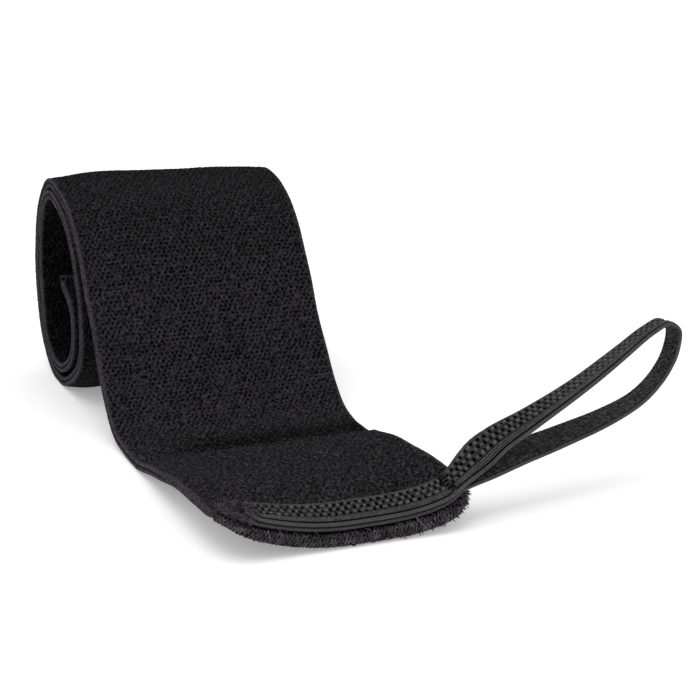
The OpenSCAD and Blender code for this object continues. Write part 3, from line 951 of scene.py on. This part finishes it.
def frayed_corners(bundle, edge, rng):
    """Pointed tufts along the right end, a clump past its corner and pale fluff at the left."""
    right, left = edge[-1], edge[0]
    if right[0] < left[0]:
        right, left = left, right
    t = np.linspace(0, 1, 6)[:, None]
    for k in range(90):
        root = edge[np.argmin(np.abs(edge[:, 0] - (right[0] - 22.0*rng.random()**1.5)))].copy()
        root[2] += rng.uniform(-1.3, 0.7)
        aim = unit(np.array([rng.uniform(-0.1, 0.9), rng.uniform(-1.0, -0.4), rng.uniform(-0.9, 0.1)]))
        bow = rng.normal(0, 0.25, 3)
        path = root + aim*rng.uniform(2.0, 3.1)*t + bow*t*t
        path[:, 2] = np.maximum(path[:, 2], 0.3)
        bundle.tube(path, rng.uniform(0.3, 0.55)*(1 - 0.9*t[:, 0]), 6, rng.uniform(0, 0.8))
    # A clump of thread ends that sticks out past the side edge
    for k in range(34):
        root = right + np.array([rng.uniform(-1.2, 0.6), rng.uniform(-0.8, 0.8), rng.uniform(-0.5, 1.0)])
        aim = unit(np.array([1.0, rng.uniform(-0.6, 0.1), rng.uniform(-0.7, 0.2)]))
        bundle.tube(root + aim*rng.uniform(1.2, 2.3)*t + rng.normal(0, 0.2, 3)*t*t,
                    rng.uniform(0.25, 0.5)*(1 - 0.88*t[:, 0]), 6, rng.uniform(0, 0.9))
    for k in range(150):
        root = left + np.array([rng.uniform(0.3, 7.5), rng.uniform(0.5, 4.5), rng.uniform(0.9, 2.2)])
        aim = rng.normal(0, 1, 3)*np.array([1.0, 0.6, 0.5])
        path, radius = loose_hair(rng, root, aim, 0.5, (0.08, 0.17), 0.6)
        bundle.tube(path, radius, 4, rng.uniform(0.6, 1.8))


FRONT_BEAD_LEFT = 0.8 - BAND_W/2


def front_edge():
    """The band's cut front edge with its inward and upward directions, round both corners."""
    t = np.linspace(-1, 1, 600)
    x = np.maximum(BAND_W/2*np.sin(t*math.pi/2)*0.985, FRONT_BEAD_LEFT)
    x = np.unique(x)
    edge = on_band(0, x, -0.5)
    edge, _ = resampled(edge, 0.3)
    edge = smoothed(edge, 2)
    along = unit(np.gradient(edge, axis=0))
    x = edge[:, 0]
    normal = unit(on_band(1.0, x, 1.0) - on_band(1.0, x, 0.0))
    inward = unit(np.cross(normal, along))
    normal = unit(np.cross(along, inward))
    return edge, inward, normal


edge, inward, normal = front_edge()
overlock("end_overlock_thread", edge, inward, normal, BEAD_R - 0.35, 51, "front_end", "end_overlock")

tail_x = np.linspace(BAND_W/2 - 0.5, 0.5 - BAND_W/2, 240)
tail_edge = on_band(BAND_L, tail_x, 0)
tail_in = unit(on_band(BAND_L - 2, tail_x, 0) - on_band(BAND_L, tail_x, 0))
tail_up = unit(on_band(BAND_L - 2, tail_x, 1) - on_band(BAND_L - 2, tail_x, 0))
overlock("tail_overlock_thread", tail_edge, tail_in, tail_up, TAIL_BEAD_R - 0.35, 61, "tail",
         "tail_overlock")


def tape_face(x, a, h=0.0):
    """Point on the upper tape layer, a across it from its near edge."""
    return on_band(TAPE_FRONT + a, x, HIGH_H + TAPE_T/2 + h)


UP = np.array([0.0, -0.26, 0.966])


def left_bartack():
    """Zigzag of thread that locks the tape's left end down, with the fluff of its cut ends and
    a pale knot at the near corner."""
    bundle = Bundle()
    rng = np.random.default_rng(71)
    for _ in range(420):
        a = rng.uniform(-0.8, 9.0)
        root = tape_face(TAPE_LEFT + rng.uniform(-4.2, 2.6), a, rng.uniform(-3.0, -1.3))
        aim = rng.normal(0, 1, 3)*np.array([1.0, 0.7, 0.45])
        path, radius = loose_hair(rng, root, aim, 0.4, (0.08, 0.17), 0.6)
        bundle.tube(path, radius, 4, rng.uniform(0.1, 1.2)*(1.4 if a < 3 else 0.8))
    for _ in range(180):
        root = tape_face(rng.uniform(1.5, 9.5) - BAND_W/2, rng.uniform(-0.5, 1.4), rng.uniform(-2.9, -1.2))
        aim = rng.normal(0, 1, 3)*np.array([0.9, 0.6, 0.4])
        path, radius = loose_hair(rng, root, aim, 0.3, (0.1, 0.2), 0.5)
        bundle.tube(path, radius, 4, rng.uniform(0.4, 1.7))
    # Loose ends that lie over the end of the upper layer
    for _ in range(220):
        root = tape_face(TAPE_TOP_LEFT + rng.uniform(-0.6, 3.4), rng.uniform(1.5, 9.6),
                         rng.uniform(-0.4, 0.2))
        aim = rng.normal(0, 1, 3)*np.array([0.9, 0.8, 0.2])
        path, radius = loose_hair(rng, root, aim, 0.3, (0.1, 0.2), 0.5)
        bundle.tube(path, radius, 4, rng.uniform(0.2, 1.5), rng.choice([0.0, 0.0, 0.6]))
    knot = tape_face(TAPE_LEFT - 0.2, -0.9, -2.6) + np.array([-1.2, -1.3, -1.5])
    wind = np.linspace(0, 1, 90)[:, None]
    turn, dip = 2*math.pi*7*wind, math.pi*wind
    ball = np.concatenate([np.cos(turn)*np.sin(dip), np.sin(turn)*np.sin(dip), np.cos(dip)], 1)
    bundle.tube(knot + ball*np.array([0.8, 0.6, 0.6]), 0.17, 5, 2.4)
    for k in range(12):
        a = 1.9 + 0.62*k
        start = tape_face(TAPE_TOP_LEFT + 2.2 + rng.normal(0, 0.12), a, -0.3)
        finish = tape_face(TAPE_TOP_LEFT + 3.9 + rng.normal(0, 0.12), a + 0.25, -0.3)
        bundle.tube(stitch_line(start, finish, UP, 0.25), 0.13, 5, rng.uniform(0.3, 1.2))
    return bundle.piece("left_bartack_thread", thread_cloth)


def right_bartack():
    """Zigzag sunk into an arc across the tape where the loop leaves the band, and the bar
    between the loop's legs."""
    bundle = Bundle()
    rng = np.random.default_rng(73)
    for k in range(17):
        a = 0.9 + 0.55*k
        arc = FOLD_X + FOLD_BOW*math.sin(math.pi*(a/TAPE_W))
        start = tape_face(arc - 0.7 + rng.normal(0, 0.1), a, -0.28)
        finish = tape_face(arc + 0.9 + rng.normal(0, 0.1), a + 0.3, -0.28)
        dark = 0.0 if k % 3 == 0 else 0.9
        bundle.tube(stitch_line(start, finish, UP, 0.30 - 0.1*(k % 2)), 0.2, 6,
                    rng.uniform(0.2, 0.9), dark)
    along = np.array([0, math.cos(SEAM_TILT), math.sin(SEAM_TILT)])
    out = np.array([1.0, 0, 0])
    rise = np.cross(out, along)
    middle = np.array([SEAM_AXIS[0], LOOP_Y, SEAM_AXIS[1]])
    t = np.linspace(-TAPE_W/2, TAPE_W/2, 12)[:, None]
    # The bar's core, darkened with painted shade between the windings round it
    bundle.tube(middle + along*t, 0.85, 14, 0.0, 0.6)
    turns = np.linspace(0, 1, 260)[:, None]
    wind = turns*2*math.pi*17
    bundle.tube(middle + along*(turns - 0.5)*TAPE_W + 0.95*(np.cos(wind)*out + np.sin(wind)*rise),
                0.22, 6, 0.3, 0.3)
    return bundle.piece("right_bartack_thread", thread_cloth)


def seam_stitches():
    """Two rows of lockstitch along the tape, sunk into it."""
    bundle = Bundle()
    rng = np.random.default_rng(79)
    for a in (1.9, TAPE_W - 1.2):
        for x in np.arange(TAPE_LEFT + 5.2, 35, 4.2):
            start = tape_face(x - 1.2, a + rng.normal(0, 0.04), -0.32)
            finish = tape_face(x + 1.2, a + rng.normal(0, 0.04), -0.32)
            bundle.tube(stitch_line(start, finish, UP, 0.22), 0.12, 5, rng.uniform(0.2, 0.7))
    return bundle.piece("tape_seam_thread", thread_cloth)


for piece, node in ((left_bartack(), "left_bartack"), (right_bartack(), "right_bartack"),
                    (seam_stitches(), "trim_seam_stitches")):
    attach(piece, "front_end")
    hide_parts(node)

# ------------------------------------------------------------------ hook patch on the tail
HOOK_S1 = BAND_L - HOOK_MARGIN
HOOK_S0 = HOOK_S1 - HOOK_L
HOOK_BACK = 0.55
HOOK_PITCH = 1.55


def hook_patch():
    """Nylon backing with rows of small hooks that lean along the tail."""
    base = BAND_T/2 + SEWN_GAP
    corner = 2.5
    s_rows = np.linspace(HOOK_S0, HOOK_S1, 49)
    cells = 60
    end = np.minimum(s_rows - HOOK_S0, HOOK_S1 - s_rows)
    pull = corner - np.sqrt(np.clip(corner**2 - np.clip(corner - end, 0, corner)**2, 0, None))
    half = HOOK_W/2 - pull
    share = np.linspace(-1, 1, cells + 1)
    ring_share = np.concatenate([share, share[::-1]])
    ring_h = np.concatenate([np.full(cells + 1, base + HOOK_BACK), np.full(cells + 1, base)])
    s = np.broadcast_to(s_rows[:, None], (len(s_rows), len(ring_share)))
    x = half[:, None]*ring_share[None, :]
    h = np.broadcast_to(ring_h[None, :], s.shape)
    faces = ring_faces(len(s_rows), len(ring_share)) + ring_caps(len(s_rows), len(ring_share))
    bundle = Bundle()
    bundle.add(on_band(s, x, h).reshape(-1, 3), faces, np.stack([x, s, h], -1).reshape(-1, 3))
    t = np.linspace(0, 1, 6)
    bend = t*math.radians(215)
    for i, s0 in enumerate(np.arange(HOOK_S0 + 2, HOOK_S1 - 1.6, HOOK_PITCH)):
        for x0 in np.arange(-HOOK_W/2 + 2 + 0.5*HOOK_PITCH*(i % 2), HOOK_W/2 - 1.6, HOOK_PITCH):
            lean = 1 if i % 2 else -1
            r = 0.24
            h0 = base + HOOK_BACK
            stem = on_band(s0, x0, h0 + np.array([-0.1, 0.2]))
            crook = on_band(s0 + lean*r*(1 - np.cos(bend)), x0, h0 + 0.4 + r*np.sin(bend))
            bundle.tube(np.vstack([stem, crook]), 0.1, 4)
    return bundle.piece("hook_patch_nylon", hook_nylon)


def hook_stitches():
    """Lockstitch across the two ends of the hook patch."""
    bundle = Bundle()
    h = BAND_T/2 + SEWN_GAP + HOOK_BACK - 0.05
    for s0 in (HOOK_S0 + 1.0, HOOK_S1 - 1.0):
        for x in np.arange(-HOOK_W/2 + 3, HOOK_W/2 - 4, 3.2):
            t = np.linspace(0, 1, 7)
            bundle.tube(on_band(s0, x + 2.4*t, h + 0.22*np.sin(math.pi*t)), 0.16, 6, 0.3)
    return bundle.piece("hook_patch_thread", thread_cloth)


for piece, node, slot in ((hook_patch(), "hook_patch", "hook"),
                          (hook_stitches(), "hook_patch_stitches", "thread")):
    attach(piece, "tail")
    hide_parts(node)


# ------------------------------------------------------------------ floor, light and camera
def floor():
    size = 4.0
    mesh = bpy.data.meshes.new("floor")
    corners = [(-size, -size, 0), (size, -size, 0), (size, size, 0), (-size, size, 0)]
    mesh.from_pydata(corners, [], [(0, 1, 2, 3)])
    mesh.materials.append(floor_material())
    obj = bpy.data.objects.new("floor", mesh)
    obj.location.z = -0.0002
    bpy.context.scene.collection.objects.link(obj)


def area_light(name, place, target, size, power):
    light = bpy.data.lights.new(name, "AREA")
    light.size = size
    light.energy = power
    obj = bpy.data.objects.new(name, light)
    obj.location = place
    aim = np.array(target, float) - np.array(place, float)
    obj.rotation_euler = (math.acos(-aim[2]/np.linalg.norm(aim)), 0,
                          math.atan2(aim[1], aim[0]) - math.pi/2)
    bpy.context.scene.collection.objects.link(obj)


def studio():
    world = bpy.data.worlds.new("studio")
    world.use_nodes = True
    background = world.node_tree.nodes["Background"]
    background.inputs["Color"].default_value = (1, 1, 1, 1)
    background.inputs["Strength"].default_value = 0.8
    bpy.context.scene.world = world
    area_light("overhead_softbox", (-0.25, -0.15, 1.3), (0, 0, 0), 1.0, 5.5)
    bpy.context.scene.view_settings.view_transform = "Standard"


VIEW_AZIMUTH = math.radians(-21.64)
VIEW_ELEVATION = math.radians(17.61)
CAMERA_PLACE = (-0.2470, -0.6253, 0.2372)
LENS = 115.7


def camera():
    data = bpy.data.cameras.new("camera")
    data.sensor_width = 36
    data.lens = LENS
    data.clip_start = 0.01
    obj = bpy.data.objects.new("camera", data)
    obj.location = CAMERA_PLACE
    obj.rotation_euler = (math.pi/2 - VIEW_ELEVATION, 0, VIEW_AZIMUTH)
    bpy.context.scene.collection.objects.link(obj)
    bpy.context.scene.camera = obj


floor()
studio()
camera()
